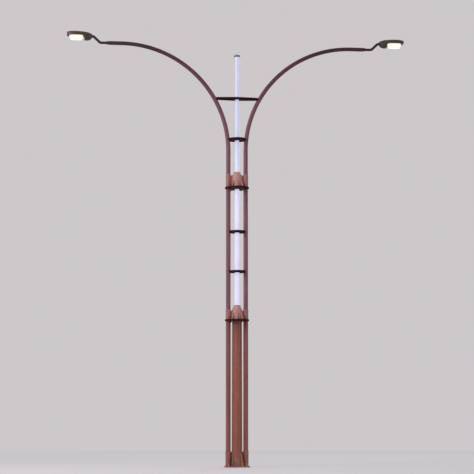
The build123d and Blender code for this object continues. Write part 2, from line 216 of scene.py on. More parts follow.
def newGroup(name, inputs, outputs):  # its sockets are given by label and type
    group = bpy.data.node_groups.new(name, "ShaderNodeTree")
    for direction, sockets in (("INPUT", inputs), ("OUTPUT", outputs)):
        for label, kind in sockets.items():
            group.interface.new_socket(label, in_out=direction, socket_type=kind)
    return group, addNode(group, "NodeGroupInput").outputs, addNode(group, "NodeGroupOutput")


def placeGroup(tree, group, values):  # a group in a material, with the material's own values
    node = addNode(tree, "ShaderNodeGroup", node_tree=group)
    feed(tree, node, values)
    return node.outputs


def fromScreen(*levels):  # a colour as a picture shows it, 0 to 255, made linear by the usual screen curve
    return (*(((level / 255 + 0.055) / 1.055) ** 2.4 for level in levels), 1)


def newMaterial(name):
    material = bpy.data.materials.new(name)
    material.use_nodes = True
    return material, material.node_tree, material.node_tree.nodes["Principled BSDF"]


# Weathered paint: broad fade, rain streaks, runs that also paint the shade below the collars, dust near the
# ground, specks and orange peel
weatherSizes = {
    "streakStretch": (26, 26, 0.7), "runAndShadeLength": 0.85,
    "dustTop": 0.55, "dustFull": 0.03, "dustShare": 0.55, "dustColour": (0.36, 0.27, 0.22, 1),
    "speckShare": 0.16, "speckDepth": -0.4, "fadeRoughness": 0.25, "dustRoughness": 0.3,
    "peelNoise": (240.0, 2.0, 0.5), "peelHeight": 0.5,
}
weatherLayers = {  # scale, detail and roughness of each noise, then the range of it that counts
    "broad": (1.7, 4.0, 0.6, 0.38, 0.66),
    "cloudy": (9.0, 4.0, 0.6, 0.35, 0.7),
    "streaks": (1.0, 5.0, 0.62, 0.5, 0.72),
    "ragged": (1.6, 4.0, 0.6, 0.36, 0.62),
    "specks": (85.0, 2.0, 0.6, 0.62, 0.74),
}
uprightLayers = ("streaks", "ragged")
weatherInputs = {
    "Vector": "NodeSocketVector",
    "Paint": "NodeSocketColor", "Fade": "NodeSocketColor", "Grime": "NodeSocketColor",
    "Fade Amount": "NodeSocketFloat", "Streak Amount": "NodeSocketFloat",
    "Drip And Shade Amount": "NodeSocketFloat", "Base Roughness": "NodeSocketFloat",
}
weatherOutputs = {"Color": "NodeSocketColor", "Roughness": "NodeSocketFloat", "Height": "NodeSocketFloat"}
undersides = [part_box(f"{collarName}_collar_bottom_plate")[0].z for collarName in collarNames]


def makeWeatherGroup():
    spec = weatherSizes
    group, entry, leave = newGroup("weatheredPaintAndShade", weatherInputs, weatherOutputs)
    place = entry["Vector"]
    level = axisOf(group, place, "Z")
    upright = stretchOf(group, place, spec["streakStretch"])
    layers = {}
    for label, (*noise, low, high) in weatherLayers.items():
        source = upright if label in uprightLayers else place
        layers[label] = rangeOf(group, noiseIn(group, source, *noise), low, high)

    fadeShare = productOf(group, layers["broad"], layers["cloudy"], entry["Fade Amount"])
    colour = mixOf(group, fadeShare, entry["Paint"], entry["Fade"])
    streakShare = productOf(group, layers["streaks"], entry["Streak Amount"])
    colour = mixOf(group, streakShare, colour, entry["Grime"])
    for underside in undersides:  # dark runs that fade out below each collar, partly rain runs and partly painted shade under it
        fading = rangeOf(group, level, underside - spec["runAndShadeLength"], underside)
        below = mathOf(group, "LESS_THAN", level, underside)
        runAndShadeShare = productOf(group, fading, below, layers["ragged"], entry["Drip And Shade Amount"])
        colour = mixOf(group, runAndShadeShare, colour, entry["Grime"])
    nearGround = rangeOf(group, level, spec["dustTop"], spec["dustFull"])
    dustShare = productOf(group, nearGround, layers["cloudy"], spec["dustShare"])
    colour = mixOf(group, dustShare, colour, spec["dustColour"])
    speckShare = productOf(group, layers["specks"], spec["speckShare"])
    colour = mixOf(group, speckShare, colour, entry["Grime"])

    roughness = entry["Base Roughness"]
    for share, added in ((fadeShare, spec["fadeRoughness"]), (dustShare, spec["dustRoughness"])):
        roughness = mathOf(group, "ADD", roughness, productOf(group, share, added))
    peel = productOf(group, noiseIn(group, place, *spec["peelNoise"]), spec["peelHeight"])
    pits = productOf(group, layers["specks"], spec["speckDepth"])
    height = mathOf(group, "ADD", peel, pits)
    feed(group, leave, {"Color": colour, "Roughness": roughness, "Height": height})
    return group


# Paints: main, faded and grimy colour as a picture shows them, then how strongly each effect shows
paintSizes = {"bump": 0.25, "bumpDepth": 0.0006, "coatRoughness": 0.35}
plainAmounts = {"drip": 0.0, "coat": 0.0, "metallic": 0.0, "specular": 0.5}
weatherAmounts = {
    "Fade Amount": "fade", "Streak Amount": "streak", "Drip And Shade Amount": "drip", "Base Roughness": "roughness",
}
shaderAmounts = {"Coat Weight": "coat", "Metallic": "metallic", "Specular IOR Level": "specular"}


def paintLook(main, faded, grimy, **amounts):
    colours = {"Paint": main, "Fade": faded, "Grime": grimy}
    return {"colours": colours, **plainAmounts, **amounts}


paintLooks = {
    "bronzePaint": paintLook(
        (145, 83, 68), (167, 105, 87), (82, 47, 40),
        fade=0.75, streak=0.5, drip=0.7, roughness=0.45, coat=0.05, specular=0.35,
    ),
    # lighter copy of the bronze paint for the base stiffeners: painted light that lifts the shade between
    # core and sockets
    "footLitPaint": paintLook(
        (166, 104, 88), (184, 126, 108), (104, 64, 55),
        fade=0.75, streak=0.3, roughness=0.5, specular=0.3,
    ),
    # one tube paint as lit copies: the lower posts painted lighter, the middle posts painted with plum dusk
    # light
    "lowerTubeLitPaint": paintLook(
        (136, 81, 78), (156, 102, 94), (76, 46, 46),
        fade=0.7, streak=0.45, drip=0.5, roughness=0.42, coat=0.05, specular=0.35,
    ),
    "middleTubeSkyLitPaint": paintLook(
        (124, 78, 88), (144, 98, 104), (70, 45, 52),
        fade=0.7, streak=0.45, drip=0.5, roughness=0.42, coat=0.05, specular=0.35,
    ),
    "armShadedTipsPaint": paintLook(  # main and faded colour change with the distance from the pole's axis, painted shade that darkens the arms toward their tips
        {0.3: (122, 78, 90), 1.0: (98, 56, 60), 1.5: (94, 52, 57), 2.6: (62, 34, 41)},
        {0.3: (142, 98, 106), 1.0: (118, 74, 76), 1.5: (114, 70, 73), 2.6: (82, 52, 58)},
        (56, 32, 37),
        fade=0.6, streak=0.4, roughness=0.45, specular=0.3,
    ),
    # darker copy of the arm paint for the sleeves and tenons: painted shade at the arm ends
    "tenonShadedPaint": paintLook(
        (56, 32, 38), (78, 50, 54), (34, 20, 26),
        fade=0.5, streak=0.3, roughness=0.5, specular=0.2,
    ),
    # darker copies of the pole's paint for the collars, spacer rings, spreader and their welds: painted shade
    # of their undersides
    "lowerCollarShadedPaint": paintLook(
        (74, 18, 13), (98, 42, 35), (44, 9, 8),
        fade=0.4, streak=0.3, roughness=0.6, specular=0.08,
    ),
    "collarTopShadedPaint": paintLook(
        (68, 22, 26), (92, 44, 46), (40, 12, 17),
        fade=0.5, streak=0.4, roughness=0.6, specular=0.15,
    ),
    "collarShadedPaint": paintLook(
        (42, 8, 17), (62, 24, 32), (26, 6, 12),
        fade=0.4, streak=0.3, roughness=0.6, specular=0.08,
    ),
    # lighter copy of the pole's paint for the stubs, their stiffeners and welds: painted light from the
    # glowing tubes above
    "stubGlowLitPaint": paintLook(
        (198, 145, 136), (214, 171, 162), (132, 91, 86),
        fade=0.7, streak=0.45, roughness=0.5, coat=0.05, specular=0.35,
    ),
    # lighter copy of the tube paint for the sockets: painted light from the glowing tubes beside them
    "socketLitPaint": paintLook(
        (160, 108, 104), (182, 132, 126), (98, 64, 63),
        fade=0.7, streak=0.45, roughness=0.48, coat=0.05, specular=0.35,
    ),
    "capPaint": paintLook(
        (126, 118, 136), (156, 148, 162), (84, 76, 88),
        fade=0.6, streak=0.3, roughness=0.4, coat=0.1,
    ),
    "lanternPaint": paintLook(
        (66, 53, 47), (92, 78, 68), (37, 30, 28),
        fade=0.5, streak=0.2, roughness=0.4, coat=0.1, specular=0.35,
    ),
    "boltZinc": paintLook(
        (128, 122, 120), (168, 164, 160), (82, 70, 64),
        fade=0.7, streak=0.2, roughness=0.38, metallic=0.75,
    ),
    "boltPaint": paintLook(
        (74, 46, 48), (104, 76, 72), (40, 26, 28),
        fade=0.6, streak=0.2, roughness=0.5, specular=0.3,
    ),
    "darkRubber": paintLook(
        (46, 42, 42), (70, 64, 62), (30, 27, 27),
        fade=0.5, streak=0.1, roughness=0.75,
    ),
}


def shadeAlongArm(tree, place, stops):  # colour by distance from the pole's axis, alike on both sides: painted shade, darker toward the arm tips
    nearest, *others = stops
    farthest = max(stops)
    reach = mathOf(tree, "ABSOLUTE", axisOf(tree, place, "X"))
    ramp = addNode(tree, "ShaderNodeValToRGB")
    feed(tree, ramp, {"Fac": rangeOf(tree, reach, 0.0, farthest)})
    elements = ramp.color_ramp.elements
    elements.remove(elements[1])
    elements[0].position = nearest / farthest
    elements[0].color = fromScreen(*stops[nearest])
    for distance in others:
        elements.new(distance / farthest).color = fromScreen(*stops[distance])
    return ramp.outputs["Color"]


def makePaint(name, look):
    material, tree, shader = newMaterial(name)
    place = objectPlace(tree)
    values = {label: look[amount] for label, amount in weatherAmounts.items()}
    for label, colour in look["colours"].items():
        changing = isinstance(colour, dict)
        values[label] = shadeAlongArm(tree, place, colour) if changing else fromScreen(*colour)
    weather = placeGroup(tree, weatherAndShadeGroup, {"Vector": place, **values})
    feed(tree, shader, {label: look[amount] for label, amount in shaderAmounts.items()})
    feed(tree, shader, {
        "Base Color": weather["Color"], "Roughness": weather["Roughness"],
        "Coat Roughness": paintSizes["coatRoughness"],
    })
    addBump(tree, shader, weather["Height"], paintSizes["bump"], paintSizes["bumpDepth"])
    return material


weatherAndShadeGroup = makeWeatherGroup()
materials = {name: makePaint(name, look) for name, look in paintLooks.items()}

# Lit pieces: opal diffusers and ribbed glass lit from inside, faintly cloudy and dusty
litSizes = {
    "cloudNoise": (3.0, 0.5), "cloudRange": (0.3, 0.75), "topGlow": 0.15,
    "dustStretch": (30, 30, 1.1), "dustNoise": (1.0, 4.0, 0.6), "dustRange": (0.52, 0.75),
    "grainNoise": (140.0, 2.0, 0.5), "ribHeight": 2.0, "bump": 0.12, "bumpDepth": 0.0005,
    "lampAboveGlass": 0.02,
}
litColours = ("Bright", "Dim", "Dusty", "Shell")
litAmounts = {"Cloud Scale": "cloudScale", "Cloud Low": "cloudLow", "Dust Amount": "dust"}
litInputs = {
    "Vector": "NodeSocketVector", "Glow Share": "NodeSocketFloat",
    **dict.fromkeys(litColours, "NodeSocketColor"), **dict.fromkeys(litAmounts, "NodeSocketFloat"),
}
litOutputs = {"Glow": "NodeSocketColor", "Shell": "NodeSocketColor", "Height": "NodeSocketFloat"}
glassLow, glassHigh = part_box("right_drop_glass")
lampPlace = ((glassLow.x + glassHigh.x) / 2, 0, glassLow.z + litSizes["lampAboveGlass"])
diffuser = {"strength": 0.74, "roughness": 0.3, "cloudScale": 2.2, "cloudLow": 0.0, "dust": 0.5}
litLooks = {
    "lowerDiffuser": {
        "Bright": (230, 226, 255), "Dim": (216, 210, 244), "Dusty": (188, 178, 206), "Shell": (150, 148, 162),
        **diffuser,
    },
    "upperDiffuser": {
        "Bright": (222, 227, 255), "Dim": (190, 191, 223), "Dusty": (172, 173, 200), "Shell": (146, 152, 164),
        "dimAbove": (8.8, 9.7), **diffuser,
    },
    "litGlass": {
        "Bright": (255, 253, 248), "Dim": (246, 226, 190), "Dusty": (216, 196, 162), "Shell": (120, 116, 108),
        "strength": 1.1, "roughness": 0.18, "cloudScale": 9.0, "cloudLow": 0.85, "dust": 0.3,
        "nearGlow": 0.1, "farGlow": 0.24, "ribs": 70.0, "ribShade": 0.35,
    },
}


def makeLitGroup():
    spec = litSizes
    group, entry, leave = newGroup("litShell", litInputs, litOutputs)
    place = entry["Vector"]
    clouds = noiseIn(group, place, entry["Cloud Scale"], *spec["cloudNoise"])
    bright = rangeOf(group, clouds, *spec["cloudRange"], entry["Cloud Low"])
    glow = mixOf(group, productOf(group, bright, entry["Glow Share"]), entry["Dim"], entry["Bright"])
    streaks = noiseIn(group, stretchOf(group, place, spec["dustStretch"]), *spec["dustNoise"])
    dust = productOf(group, rangeOf(group, streaks, *spec["dustRange"]), entry["Dust Amount"])
    feed(group, leave, {
        "Glow": mixOf(group, dust, glow, entry["Dusty"]),
        "Shell": mixOf(group, dust, entry["Shell"], entry["Dusty"]),
        "Height": noiseIn(group, place, *spec["grainNoise"]),
    })
    return group


def lampShare(tree, place, look):  # 1 beside the lamp, 0 at the ends of its glass, on both sides
    across = addNode(tree, "ShaderNodeVectorMath", operation="ABSOLUTE")
    feed(tree, across, {0: place})
    fromLamp = addNode(tree, "ShaderNodeVectorMath", operation="DISTANCE")
    feed(tree, fromLamp, {0: across.outputs["Vector"], 1: lampPlace})
    return rangeOf(tree, fromLamp.outputs["Value"], look["farGlow"], look["nearGlow"])


def makeLit(name, look):
    spec = litSizes
    material, tree, shader = newMaterial(name)
    place = objectPlace(tree)
    tints = {label: fromScreen(*look[label]) for label in litColours}
    amounts = {label: look[amount] for label, amount in litAmounts.items()}
    share = 1.0
    if "dimAbove" in look:  # the glow weakens up the tube
        share = rangeOf(tree, axisOf(tree, place, "Z"), *look["dimAbove"], 1.0, spec["topGlow"])
    if "farGlow" in look:  # the glow is strongest beside the lamp
        share = lampShare(tree, place, look)
    shell = placeGroup(tree, litGroup, {"Vector": place, "Glow Share": share, **tints, **amounts})
    glow, relief = shell["Glow"], shell["Height"]
    if "ribs" in look:  # pressed ribs across the glass
        ribs = addNode(tree, "ShaderNodeTexWave", wave_type="BANDS", bands_direction="X")
        feed(tree, ribs, {"Vector": place, "Scale": look["ribs"]})
        relief = mathOf(tree, "ADD", productOf(tree, ribs.outputs["Fac"], spec["ribHeight"]), relief)
        shade = rangeOf(tree, ribs.outputs["Fac"], 0.0, 1.0, 0.0, look["ribShade"])
        glow = mixOf(tree, shade, glow, tints["Dim"])
    feed(tree, shader, {
        "Emission Color": glow, "Emission Strength": look["strength"],
        "Base Color": shell["Shell"], "Roughness": look["roughness"],
    })
    addBump(tree, shader, relief, spec["bump"], spec["bumpDepth"])
    return material


litGroup = makeLitGroup()
materials |= {name: makeLit(name, look) for name, look in litLooks.items()}
print("materials made:", len(materials))

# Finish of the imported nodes
nodeFinish = {
    "base_plate": "bronzePaint", "core_mast": "bronzePaint", "hand_hole_cover": "bronzePaint",
    "base_stiffeners": "footLitPaint", "tip_cap": "capPaint",
    "lower_collar_bottom_plate": "lowerCollarShadedPaint", "lower_collar_top_plate": "lowerCollarShadedPaint",
    "upper_collar_bottom_plate": "collarShadedPaint", "upper_collar_top_plate": "collarTopShadedPaint",
    "spacer_ring_1": "collarShadedPaint", "spacer_ring_2": "collarShadedPaint", "spacer_ring_3": "collarShadedPaint",
    "spreader_plate": "collarShadedPaint", "lower_stub": "stubGlowLitPaint", "upper_stub": "stubGlowLitPaint",
    "lower_stub_stiffeners": "stubGlowLitPaint", "upper_stub_stiffeners": "stubGlowLitPaint",
    "lower_light_tube": "lowerDiffuser", "upper_light_tube": "upperDiffuser",
}
pairFinish = {  # nodes that stand on the left and on the right
    "lower_post": "lowerTubeLitPaint", "middle_post": "middleTubeSkyLitPaint", "arm": "armShadedTipsPaint",
    "arm_sleeve": "tenonShadedPaint", "tenon": "tenonShadedPaint", "foot_socket": "bronzePaint",
    "post_socket": "socketLitPaint", "arm_socket": "socketLitPaint", "lantern_housing": "lanternPaint",
    "driver_door": "lanternPaint", "glass_frame": "lanternPaint", "drop_glass": "litGlass",
}
for sideName in sides:
    nodeFinish |= {f"{sideName}_{kind}": finish for kind, finish in pairFinish.items()}
for nodeName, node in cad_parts.items():
    node.data.materials.clear()
    node.data.materials.append(materials[nodeFinish[nodeName]])
print("packed nodes finished")

# Anchor bolts
fastenerSizes = {  # the bevels are shares of a piece's height
    "studSides": 20, "nutSides": 6, "nutBevel": 0.07, "washerSides": 28, "washerBevel": 0.25,
}
anchorSizes = {
    "spacingX": 0.51, "spacingY": 0.4, "studRadius": 0.0165, "studTop": 0.135, "tipInset": 0.004,
    "washerRadius": 0.034, "washerHeight": 0.006, "nutRadius": 0.0289, "nutHeight": 0.026,
    "lockHeight": 0.015, "lockGap": 0.001, "turnStep": 17,
}


def makeStud(radius, depth, tipInset):
    stud = addRound(radius, depth, (0, 0, depth / 2), fastenerSizes["studSides"])

    def chamferTip():
        bpy.ops.mesh.inset(thickness=tipInset)
        bpy.ops.transform.translate(value=(0, 0, tipInset))

    shapeFaces(stud, lambda face: face.normal.z > facing, chamferTip)
    return stud


def makeNut(radius, height, level):
    nut = addRound(radius, height, (0, 0, level + height / 2), fastenerSizes["nutSides"])
    bevelPiece(nut, height * fastenerSizes["nutBevel"])
    return nut


def makeWasher(radius, height, level):
    washer = addRound(radius, height, (0, 0, level + height / 2), fastenerSizes["washerSides"])
    bevelPiece(washer, height * fastenerSizes["washerBevel"])
    return washer


def makeAnchor():
    spec = anchorSizes
    nutFoot = baseTop + spec["washerHeight"]
    lockFoot = nutFoot + spec["nutHeight"] + spec["lockGap"]
    return joinPieces(
        [
            makeStud(spec["studRadius"], spec["studTop"], spec["tipInset"]),
            makeWasher(spec["washerRadius"], spec["washerHeight"], baseTop),
            makeNut(spec["nutRadius"], spec["nutHeight"], nutFoot),
            makeNut(spec["nutRadius"], spec["lockHeight"], lockFoot),
        ],
        "anchorModel",
    )


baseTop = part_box("base_plate")[1].z
anchorModel = makeAnchor()
anchorPlaces = [
    (across * anchorSizes["spacingX"] / 2, deep * anchorSizes["spacingY"] / 2, 0)
    for across in (-1, 0, 1)
    for deep in (-1, 1)
]
anchorTurns = [
    Euler((0, 0, math.radians(anchorSizes["turnStep"] * number))) for number in range(len(anchorPlaces))
]
finishPiece(copiesAt(anchorModel, anchorPlaces, anchorTurns), "anchor_bolts", "boltZinc")
dropModel(anchorModel)
print("anchor bolts made")

# Collar bolts
collarBoltSizes = {
    "circle": 0.3, "firstAngle": 30, "step": 30, "eachSide": 5, "shank": 0.01, "tipInset": 0.0025,
    "headRadius": 0.0173, "headHeight": 0.013, "washerRadius": 0.0185, "washerHeight": 0.003,
    "tail": 0.012, "turnFactor": 2.3,
}


def makeCollarBolt(low, high):
    spec = collarBoltSizes
    nutFoot = low - spec["washerHeight"] - spec["headHeight"]
    shank = makeStud(spec["shank"], high - nutFoot + spec["tail"], spec["tipInset"])
    shank.location.z += nutFoot - spec["tail"]
    return joinPieces(
        [
            shank,
            makeWasher(spec["washerRadius"], spec["washerHeight"], high),
            makeNut(spec["headRadius"], spec["headHeight"], high + spec["washerHeight"]),
            makeWasher(spec["washerRadius"], spec["washerHeight"], low - spec["washerHeight"]),
            makeNut(spec["headRadius"], spec["headHeight"], nutFoot),
        ],
        "collarBoltModel",
    )


boltAngles = [
    math.radians(half + collarBoltSizes["firstAngle"] + collarBoltSizes["step"] * number)
    for half in (0, 180)
    for number in range(collarBoltSizes["eachSide"])
]
boltCircle = collarBoltSizes["circle"]
boltPlaces = [(boltCircle * math.cos(angle), boltCircle * math.sin(angle), 0) for angle in boltAngles]
boltTurns = [Euler((0, 0, angle * collarBoltSizes["turnFactor"])) for angle in boltAngles]
collarTops = [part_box(f"{collarName}_collar_top_plate")[1].z for collarName in collarNames]
for collarName, low, high in zip(collarNames, undersides, collarTops):
    boltModel = makeCollarBolt(low, high)
    bolts = copiesAt(boltModel, boltPlaces, boltTurns)
    finishPiece(bolts, f"{collarName}_collar_bolts", "boltPaint")
    dropModel(boltModel)
print("collar bolts made")

# Weld beads
weldSizes = {
    "bead": 0.006, "thinBead": 0.0045, "ripple": 0.0011, "around": 120, "across": 8, "crestEvery": 3,
    "coreHead": 0.14,
}
thinBead = weldSizes["thinBead"]
lowerUnderside, upperUnderside = undersides


def makeWeld(radius, level, offset=0.0, bead=weldSizes["bead"]):
    weld = addRing(radius, bead, (offset, 0, level), weldSizes["around"], weldSizes["across"])
    step = 2 * math.pi / weldSizes["around"]

    def onCrest(face):
        middle = face.calc_center_median()
        return math.floor(math.atan2(middle.y, middle.x) / step) % weldSizes["crestEvery"] == 0

    def ripple():
        bpy.ops.transform.shrink_fatten(value=weldSizes["ripple"])

    shapeFaces(weld, onCrest, ripple)
    bpy.ops.object.shade_smooth()
    return weld


def roundRadius(nodeName):  # half the width of an upright round node
    low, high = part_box(nodeName)
    return (high.x - low.x) / 2


def makeWeldPair(kind, level, bead=weldSizes["bead"]):  # round a node on the left and its twin on the right
    radius = roundRadius(f"right_{kind}")
    return [makeWeld(radius, level, side * sideOffset, bead) for side in sides.values()]


postLow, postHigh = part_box("right_lower_post")
sideOffset = (postLow.x + postHigh.x) / 2
footRadius = roundRadius("core_mast")
footWelds = [makeWeld(footRadius, baseTop), *makeWeldPair("foot_socket", baseTop)]
finishPiece(footWelds, "foot_welds", "bronzePaint")

underWelds = makeWeldPair("lower_post", lowerUnderside, thinBead)
underWelds += makeWeldPair("middle_post", upperUnderside, thinBead)
underWelds.append(makeWeld(weldSizes["coreHead"], lowerUnderside))
finishPiece(underWelds, "collar_under_welds", "collarShadedPaint")

stubWelds = []
for collarName, socketKind, level in zip(collarNames, ("post_socket", "arm_socket"), collarTops):
    stubWelds.append(makeWeld(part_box(f"{collarName}_stub")[1].x, level))
    stubWelds += makeWeldPair(socketKind, level, thinBead)
finishPiece(stubWelds, "stub_welds", "stubGlowLitPaint")
print("weld beads made")

# Long seam up the core, on the far side
seamSizes = {
    "beadRadius": 0.0045, "beadLength": 0.013, "beadSegments": 8, "beadRings": 5, "backDepth": 0.0015,
    "backFacing": 0.3, "pitch": 0.01, "sink": 0.002, "endGap": 0.02, "angle": 118,
}


def makeSeam():
    spec = seamSizes
    clearSelection()
    bpy.ops.mesh.primitive_uv_sphere_add(
        segments=spec["beadSegments"], ring_count=spec["beadRings"], radius=spec["beadRadius"],
        location=(0, 0, 0),
    )
    seam = bpy.context.object
    scalePiece(seam, (1, 1, spec["beadLength"] / (2 * spec["beadRadius"])))

    def flattenBack():  # the side that lies in the steel
        bpy.ops.transform.resize(value=(0, 1, 1), center_override=(-spec["backDepth"], 0, 0))

    shapeFaces(seam, lambda face: face.normal.x < -spec["backFacing"], flattenBack)
    bpy.ops.object.shade_smooth()
    height = lowerUnderside - baseTop
    beads = seam.modifiers.new("beads", "ARRAY")
    beads.count = int((height - 2 * spec["endGap"]) / spec["pitch"])
    beads.use_relative_offset = False
    beads.use_constant_offset = True
    beads.constant_offset_displace = (0, 0, spec["pitch"])
    bpy.ops.object.modifier_apply(modifier=beads.name)
    angle = math.radians(spec["angle"])
    lean = math.atan2(footRadius - weldSizes["coreHead"], height)
    reach = footRadius - spec["sink"]
    seam.location = (reach * math.cos(angle), reach * math.sin(angle), baseTop + spec["endGap"])
    seam.rotation_euler = Euler((0, -lean, angle))
    return seam


finishPiece([makeSeam()], "core_seam_weld", "bronzePaint")
print("core seam made")

# Weld beads where rings and spreader meet the side tubes
copeSizes = {
    "setBack": 0.008, "spreaderGap": 0.035, "spreaderEnd": 0.085,
    "armRadius": 3.126, "armRoot": 0.0635, "armTip": 0.056,
}
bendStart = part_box("right_arm")[1].z - copeSizes["armTip"] - copeSizes["armRadius"]


def armAt(level):  # distance from the axis, lean and radius of an arm at a level
    lean = math.asin(max(0.0, level - bendStart) / copeSizes["armRadius"])
    reach = sideOffset + copeSizes["armRadius"] * (1 - math.cos(lean))
    share = lean / math.radians(90)
    return reach, lean, copeSizes["armRoot"] + (copeSizes["armTip"] - copeSizes["armRoot"]) * share


def makeCopeWeld(side, radius, level, reach, lean, cutReach):  # part of a round bead, on the inner side
    weld = makeWeld(radius, level, side * reach, thinBead)
    weld.scale.x = 1 / math.cos(lean)
    bpy.ops.object.transform_apply(location=True, rotation=False, scale=True)
    bpy.ops.object.mode_set(mode="EDIT")
    bpy.ops.mesh.select_all(action="SELECT")
    bpy.ops.mesh.bisect(
        plane_co=(side * cutReach, 0, level), plane_no=(side, 0, 0), use_fill=True, clear_outer=True
    )
    bpy.ops.object.mode_set(mode="OBJECT")
    return weld


def cutPlace(middle, innerRadius, reach, tubeRound):  # where an end's outline crosses the tube's outline
    apart = reach - middle
    return middle + (innerRadius**2 + apart**2 - tubeRound**2) / (2 * apart)


copeWelds = []
for ringName in ("spacer_ring_1", "spacer_ring_2", "spacer_ring_3", "spreader_plate"):
    low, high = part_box(ringName)
    level = (low.z + high.z) / 2
    reach, lean, radius = armAt(level)
    if level < upperUnderside:
        radius = roundRadius("right_middle_post")
    for edge in (low.z, high.z):
        edgeReach = reach + (edge - level) * math.tan(lean)
        if ringName == "spreader_plate":
            end = copeSizes["spreaderEnd"]
            cut = cutPlace(reach - copeSizes["spreaderGap"] - end, end, edgeReach, radius)
        else:
            cut = cutPlace(0, reach - copeSizes["setBack"], edgeReach, radius)
        copeWelds += [makeCopeWeld(side, radius, edge, edgeReach, lean, cut) for side in sides.values()]
finishPiece(copeWelds, "cope_welds", "collarShadedPaint")
print("cope welds made")

# Set screws in the sockets, and the same screw in the cover, the sleeves and the glass frames
screwSizes = {
    "radius": 0.009, "depth": 0.012, "headSides": 24, "recess": 0.0045, "recessDepth": 0.005,
    "bevelShare": 0.08, "bevelAngle": 60, "socketDrop": 0.06, "socketSpread": 75,
    "coverUp": 0.118, "coverAcross": 0.064, "frameOut": 0.024,
    "sleeveBack": 0.012, "sleeveRadius": 0.04555, "sleeveTurns": (90, 210, 330),
}


def makeScrew():  # round head with a driver recess, along +X
    spec = screwSizes
    screw = addRound(spec["radius"], spec["depth"], (0, 0, 0), spec["headSides"], (0, math.radians(90), 0))
    bpy.ops.object.transform_apply(location=False, rotation=True, scale=False)

    def sinkRecess():
        bpy.ops.mesh.inset(thickness=spec["radius"] - spec["recess"])
        bpy.ops.mesh.extrude_region_move(TRANSFORM_OT_translate={"value": (-spec["recessDepth"], 0, 0)})

    shapeFaces(screw, lambda face: face.normal.x > facing, sinkRecess)
    bevelPiece(screw, spec["depth"] * spec["bevelShare"], angle=spec["bevelAngle"])
    return screw


screwModel = makeScrew()
screwPlaces = []
screwTurns = []
for sideName, side in sides.items():
    outward = 0 if side > 0 else 180
    for kind in ("foot", "post", "arm"):
        low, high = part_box(f"{sideName}_{kind}_socket")
        middle = (low + high) / 2
        radius = (high.x - low.x) / 2
        level = high.z - screwSizes["socketDrop"]
        for turn in (-screwSizes["socketSpread"], 0, screwSizes["socketSpread"]):
            angle = math.radians(outward + turn)
            screwPlaces.append((middle.x + radius * math.cos(angle), radius * math.sin(angle), level))
            screwTurns.append(Euler((0, 0, angle)))
finishPiece(copiesAt(screwModel, screwPlaces, screwTurns), "socket_set_screws", "boltZinc")

coverLow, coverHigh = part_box("hand_hole_cover")
coverMiddle = (coverLow.z + coverHigh.z) / 2
coverUp, coverAcross = screwSizes["coverUp"], screwSizes["coverAcross"]
coverPlaces = [
    (across, coverHigh.y, coverMiddle + up)
    for across, up in ((0, coverUp), (0, -coverUp), (coverAcross, 0), (-coverAcross, 0))
]
coverTurns = [Euler((0, 0, math.radians(90)))] * len(coverPlaces)
finishPiece(copiesAt(screwModel, coverPlaces, coverTurns), "cover_screws", "boltZinc")

sleevePlaces = []  # three screws in each arm sleeve's barrel hold the tenon
sleeveTurns = []
for sideName, side in sides.items():
    low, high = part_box(f"{sideName}_arm_sleeve")
    end = high.x if side > 0 else low.x
    onAxis = Vector((end - side * screwSizes["sleeveBack"], 0, (low.z + high.z) / 2))
    for turn in screwSizes["sleeveTurns"]:
        outward = Vector((0, math.cos(math.radians(turn)), math.sin(math.radians(turn))))
        sleevePlaces.append(onAxis + outward * screwSizes["sleeveRadius"])
        sleeveTurns.append(outward.to_track_quat("X", "Z").to_euler())
sleeveScrews = copiesAt(screwModel, sleevePlaces, sleeveTurns)
finishPiece(sleeveScrews, "sleeve_screws", "boltPaint")
print("screws made")

# Seals round the lit tubes
sealSizes = {
    "width": 0.009, "height": 0.008, "around": 96, "across": 10, "lip": 0.003, "lean": 0.985,
    "lipShare": 0.35, "facing": 0.7, "smoothAngle": 50,
    "headRadius": {"lower_light_tube": 0.064, "upper_light_tube": 0.053},
}


def tubeRadius(nodeName, level):  # outer radius of a lit tube at a level
    low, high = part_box(nodeName)
    taper = (sealSizes["headRadius"][nodeName] - high.x) / (high.z - low.z)
    return high.x + taper * (level - low.z)


def makeSeal(tubeName, seat, up):  # rubber ring, flat on its seat, with a lip that leans on the tube
    spec = sealSizes
    radius = tubeRadius(tubeName, seat)
    place = (0, 0, seat + up * spec["height"] / 2)
    seal = addRing(radius + spec["width"] / 2, spec["width"] / 2, place, spec["around"], spec["across"])

    def flattenFoot():
        bpy.ops.transform.resize(value=(1, 1, 0), center_override=(0, 0, seat))

    def onLip(face):
        middle = face.calc_center_median()
        inside = math.hypot(middle.x, middle.y) < radius + spec["width"] * spec["lipShare"]
        return inside and face.normal.z * up > spec["facing"]

    def raiseLip():
        bpy.ops.mesh.extrude_region_move(TRANSFORM_OT_translate={"value": (0, 0, up * spec["lip"])})
        bpy.ops.transform.resize(value=(spec["lean"], spec["lean"], 1), center_override=(0, 0, seat))

    shapeFaces(seal, lambda face: face.normal.z * up < -spec["facing"], flattenFoot)
    shapeFaces(seal, onLip, raiseLip)
    bpy.ops.object.shade_smooth_by_angle(angle=math.radians(spec["smoothAngle"]))
    return seal


seals = [
    makeSeal(f"{collarName}_light_tube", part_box(f"{collarName}_stub")[1].z, 1) for collarName in collarNames
]
seals.append(makeSeal("lower_light_tube", upperUnderside, -1))
seals.append(makeSeal("upper_light_tube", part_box("upper_light_tube")[1].z, -1))
finishPiece(seals, "light_tube_seals", "darkRubber")
print("seals made")

